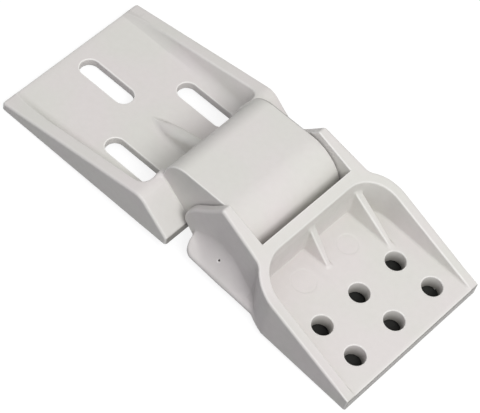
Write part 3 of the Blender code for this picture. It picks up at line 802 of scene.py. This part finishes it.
def moulded_white():
    """Satin off-white plastic: faint yellowish and pinkish patches, mottle, fine grain,
    painted highlights on its edges, painted shade in its inner corners and the painted shade
    stored on the mesh."""
    finish, tree, shader = new_material("moulded_white")
    place = add_node(tree, "TexCoord").outputs["Object"]
    edge = add_node(tree, "Attribute", {"attribute_name": "edge"}).outputs["Fac"]
    patches = spread_over(tree, noise(tree, place, 45.0, 2.0), 0.38, 0.62, 0.0, 1.0)
    mottle = noise(tree, place, 520.0, 4.0)
    grain = noise(tree, place, 3200.0, 2.0)
    colour = mixed(tree, patches, *WHITE_TINTS)
    dusty = spread_over(tree, mottle, 0.35, 0.75, 0.0, 0.10)
    colour = mixed(tree, dusty, colour, DUST)
    # Painted shade in inner corners
    inner = spread_over(tree, edge, -0.15, -0.7, 0.0, 0.22)
    colour = mixed(tree, inner, colour, CORNER_SHADE)
    # Painted highlight along convex edges
    outer = spread_over(tree, edge, 0.25, 1.0, 0.0, 0.9)
    colour = mixed(tree, outer, colour, EDGE_HIGHLIGHT)
    # Painted shade stored on the mesh, mixed towards its darkest colour
    painted_shade = add_node(tree, "Attribute", {"attribute_name": "painted_shade"}).outputs["Fac"]
    colour = mixed(tree, painted_shade, colour, SHADE_DARK)
    rough = spread_over(tree, mottle, 0.3, 0.7, 0.40, 0.54)
    normal = bumped(tree, noise(tree, place, 160.0, 2.0), 0.35, 0.00012)
    normal = bumped(tree, grain, 0.35, 0.00003, normal)
    feed(tree, shader, Base_Color=colour, Roughness=rough, Normal=normal)
    shader.inputs["IOR"].default_value = 1.5
    shader.inputs["Specular IOR Level"].default_value = 0.45
    return finish


def natural_acetal():
    """Waxy unpigmented acetal with faint flow marks."""
    finish, tree, shader = new_material("natural_acetal")
    place = add_node(tree, "TexCoord").outputs["Object"]
    stretch = add_node(tree, "Mapping", Vector=place, Scale=(1.0, 0.25, 1.0)).outputs["Vector"]
    flow = noise(tree, stretch, 300.0, 3.0)
    colour = mixed(tree, spread_over(tree, flow, 0.3, 0.7, 0.0, 1.0),
                   (0.80, 0.78, 0.70), (0.84, 0.83, 0.78))
    rough = spread_over(tree, noise(tree, place, 900.0, 3.0), 0.3, 0.7, 0.28, 0.40)
    normal = bumped(tree, flow, 0.3, 0.00004)
    feed(tree, shader, Base_Color=colour, Roughness=rough, Normal=normal)
    shader.inputs["Subsurface Weight"].default_value = 0.15
    shader.inputs["Subsurface Radius"].default_value = (0.002, 0.0018, 0.0014)
    shader.inputs["Subsurface Scale"].default_value = 0.5
    return finish


def metal(name, dark, light, rough_low, rough_high, turning):
    """Steel with tool marks. turning squeezes the marks along the hinge axis."""
    finish, tree, shader = new_material(name)
    place = add_node(tree, "TexCoord").outputs["Object"]
    stretch = add_node(tree, "Mapping", Vector=place, Scale=(1.0, turning, 1.0)).outputs["Vector"]
    marks = noise(tree, stretch, 260.0, 4.0)
    stain = noise(tree, place, 330.0, 3.0)
    colour = mixed(tree, spread_over(tree, stain, 0.3, 0.7, 0.0, 1.0), dark, light)
    rough = spread_over(tree, marks, 0.3, 0.7, rough_low, rough_high)
    normal = bumped(tree, marks, 0.25, 0.00002)
    feed(tree, shader, Base_Color=colour, Roughness=rough, Normal=normal)
    shader.inputs["Metallic"].default_value = 1.0
    return finish


def matt_floor():
    """Matt floor that is pale by its own glow."""
    finish, _, shader = new_material("matt_floor")
    shader.inputs["Base Color"].default_value = (0.2, 0.2, 0.2, 1.0)
    shader.inputs["Roughness"].default_value = 0.9
    shader.inputs["Specular IOR Level"].default_value = 0.0
    shader.inputs["Emission Color"].default_value = (1.0, 1.0, 1.0, 1.0)
    shader.inputs["Emission Strength"].default_value = FLOOR_GLOW
    return finish


def hole_shade_black():
    """Dull black card, painted shade seen through the screw holes."""
    finish, _, shader = new_material("hole_shade_black")
    shader.inputs["Base Color"].default_value = (0.035, 0.035, 0.033, 1.0)
    shader.inputs["Roughness"].default_value = 0.9
    shader.inputs["Specular IOR Level"].default_value = 0.1
    return finish


# ---- Springs -------------------------------------------------------------------------

COIL_STEPS = 28         # sections in one turn of a spring
WIRE_SIDES = 12
WIRE_END = 0.3          # the wire's ends are rounded off to this share of its radius


def coil_rise(turn, wire, turns):
    """Height along the axis after so many turns: closed, open, closed."""
    low, high = SPRING_ENDS_Y[0] + wire, SPRING_ENDS_Y[1] - wire
    shut = SPRING_CLOSED_PITCH * wire * SPRING_CLOSED_TURNS
    opened = turns - 2 * SPRING_CLOSED_TURNS
    pitch = (high - low - 2 * shut) / opened
    if turn < SPRING_CLOSED_TURNS:
        return low + SPRING_CLOSED_PITCH * wire * turn
    if turn > turns - SPRING_CLOSED_TURNS:
        return high - SPRING_CLOSED_PITCH * wire * (turns - turn)
    return low + shut + pitch * (turn - SPRING_CLOSED_TURNS)


def coil_spring(name, mean, wire, turns):
    """Round wire wound about the hinge axis, in the lid frame."""
    count = round(turns * COIL_STEPS)
    points = []
    for i in range(count + 1):
        turn = turns * i / count
        angle = 2 * math.pi * turn
        rise = coil_rise(turn, wire, turns)
        shrink = WIRE_END if i in (0, count) else 1.0
        for side in range(WIRE_SIDES):
            about = 2 * math.pi * side / WIRE_SIDES
            reach = mean + wire * shrink * math.cos(about)
            points.append((reach * math.sin(angle), rise + wire * shrink * math.sin(about),
                           reach * math.cos(angle)))
    faces = []
    for i in range(count):
        for side in range(WIRE_SIDES):
            ahead = (side + 1) % WIRE_SIDES
            a, b = i * WIRE_SIDES, (i + 1) * WIRE_SIDES
            faces.append((a + side, a + ahead, b + ahead, b + side))
    faces.append(tuple(reversed(range(WIRE_SIDES))))
    faces.append(tuple(range(count * WIRE_SIDES, (count + 1) * WIRE_SIDES)))
    mesh = bpy.data.meshes.new(name)
    mesh.from_pydata(points, [], faces)
    mesh.shade_smooth()
    mesh.transform(LID_FRAME @ Matrix.Scale(MM, 4))
    item = bpy.data.objects.new(name, mesh)
    bpy.context.collection.objects.link(item)
    return item


# ---- Studio --------------------------------------------------------------------------

def add_camera():
    """Camera at the photograph's viewing angle."""
    data = bpy.data.cameras.new("camera")
    data.lens = CAMERA_LENS
    data.sensor_width = SENSOR
    item = bpy.data.objects.new("camera", data)
    bpy.context.collection.objects.link(item)
    view = (CAMERA_AIM - CAMERA_PLACE).normalized()
    level = view.to_track_quat("-Z", "Y").to_matrix()
    roll = Matrix.Rotation(CAMERA_ROLL, 3, "Z")
    item.matrix_world = Matrix.Translation(CAMERA_PLACE) @ (level @ roll).to_4x4()
    bpy.context.scene.camera = item


def add_lamp(name, place, size, energy):
    """Square soft light aimed at the hinge."""
    lamp = bpy.data.lights.new(name, "AREA")
    lamp.size = size
    lamp.energy = energy
    item = bpy.data.objects.new(name, lamp)
    bpy.context.collection.objects.link(item)
    item.location = place
    item.rotation_euler = (-Vector(place)).to_track_quat("-Z", "Y").to_euler()


def add_studio():
    """Graded sky and one soft key light."""
    world = bpy.data.worlds.new("studio")
    bpy.context.scene.world = world
    world.use_nodes = True
    tree = world.node_tree
    direction = add_node(tree, "TexCoord").outputs["Generated"]
    direction = add_node(tree, "SeparateXYZ", Vector=direction)
    height = direction.outputs["Z"]
    risen = spread_over(tree, height, *HORIZON, 0.0, 1.0)
    glow = add_node(tree, "Math", {"operation": "MULTIPLY"})
    tree.links.new(risen, glow.inputs[0])
    tree.links.new(spread_over(tree, height, 0.0, 1.0, *SKY), glow.inputs[1])
    background = tree.nodes["Background"]
    towards = spread_over(tree, direction.outputs["Y"], -SKY_TURN, SKY_TURN, 0.0, 1.0)
    tree.links.new(mixed(tree, towards, *SKY_COLOURS), background.inputs["Color"])
    tree.links.new(glow.outputs["Value"], background.inputs["Strength"])
    seen = add_node(tree, "Background", Color=(1.0, 1.0, 1.0, 1.0), Strength=1.0)
    swap = add_node(tree, "MixShader", Fac=add_node(tree, "LightPath").outputs["Is Camera Ray"])
    tree.links.new(background.outputs["Background"], swap.inputs[1])
    tree.links.new(seen.outputs["Background"], swap.inputs[2])
    tree.links.new(swap.outputs["Shader"], tree.nodes["World Output"].inputs["Surface"])
    add_lamp("key", KEY_PLACE, KEY_SIZE, KEY_ENERGY)
    bpy.context.scene.view_settings.view_transform = "Standard"


def flat_sheet(name, span_x, half_y, z, finish):
    """Level rectangle of the studio, centred across the hinge."""
    low_x, high_x = span_x
    plane = bpy.data.meshes.new(name)
    plane.from_pydata([(low_x, -half_y, z), (high_x, -half_y, z), (high_x, half_y, z),
                       (low_x, half_y, z)], [], [(0, 1, 2, 3)])
    plane.materials.append(finish)
    sheet = bpy.data.objects.new(name, plane)
    bpy.context.collection.objects.link(sheet)
    return sheet


# ---- Build ---------------------------------------------------------------------------

add_camera()
add_studio()
WHITE = moulded_white()
ACETAL = natural_acetal()
ZINC = metal("zinc_plated_steel", dark=(0.50, 0.51, 0.54), light=(0.66, 0.66, 0.64),
             rough_low=0.25, rough_high=0.42, turning=6.0)
SPRING = metal("spring_steel", dark=(0.20, 0.21, 0.22), light=(0.34, 0.34, 0.35),
               rough_low=0.22, rough_high=0.38, turning=1.0)
CARRIED = {
    "end_plug": ACETAL, "fixed_cam": ACETAL, "sliding_cam": ACETAL, "bush_left": ACETAL,
    "bush_right": ACETAL, "spring_seat": ZINC, "cam_pin": ZINC, "retaining_ring": SPRING,
    "spring_washer": ZINC, "thrust_washer": ZINC}

lid = field_piece("lid_moulding", lid_field, LID_BOX, BRACKET_MESH, LID_FRAME, lid_shade)
lid.data.materials.append(WHITE)
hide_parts("lid_bracket")
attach(lid, "lid_side")

cabinet = field_piece("cabinet_moulding", cabinet_field, CABINET_BOX, BRACKET_MESH,
                      CABINET_FRAME, cabinet_shade)
cabinet.data.materials.append(WHITE)
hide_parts("cabinet_bracket")
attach(cabinet, "cabinet_side")

axle = field_piece("axle_pin", axle_field, AXLE_BOX, METAL_MESH, CABINET_FRAME)
axle.data.materials.append(ZINC)
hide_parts("axle")
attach(axle, "cabinet_side")

for node, mean, wire, turns in SPRINGS:
    spring = coil_spring(node.replace("spring", "coil"), mean, wire, turns)
    spring.data.materials.append(SPRING)
    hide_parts(node)
    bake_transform(spring)

for node, finish in CARRIED.items():
    mesh = bpy.data.objects[node].data
    mesh.materials.clear()
    mesh.materials.append(finish)

# Diffuse rays pass the floor by, so its glow casts no light on the object
floor = flat_sheet("floor", (-FLOOR_REACH, FLOOR_REACH), FLOOR_REACH, FLOOR_Z, matt_floor())
floor.visible_diffuse = False
# Painted shade under the screw holes: a black card seen through them
flat_sheet("dark_card", CARD_SPAN_X, CARD_HALF_Y, CARD_Z, hole_shade_black())
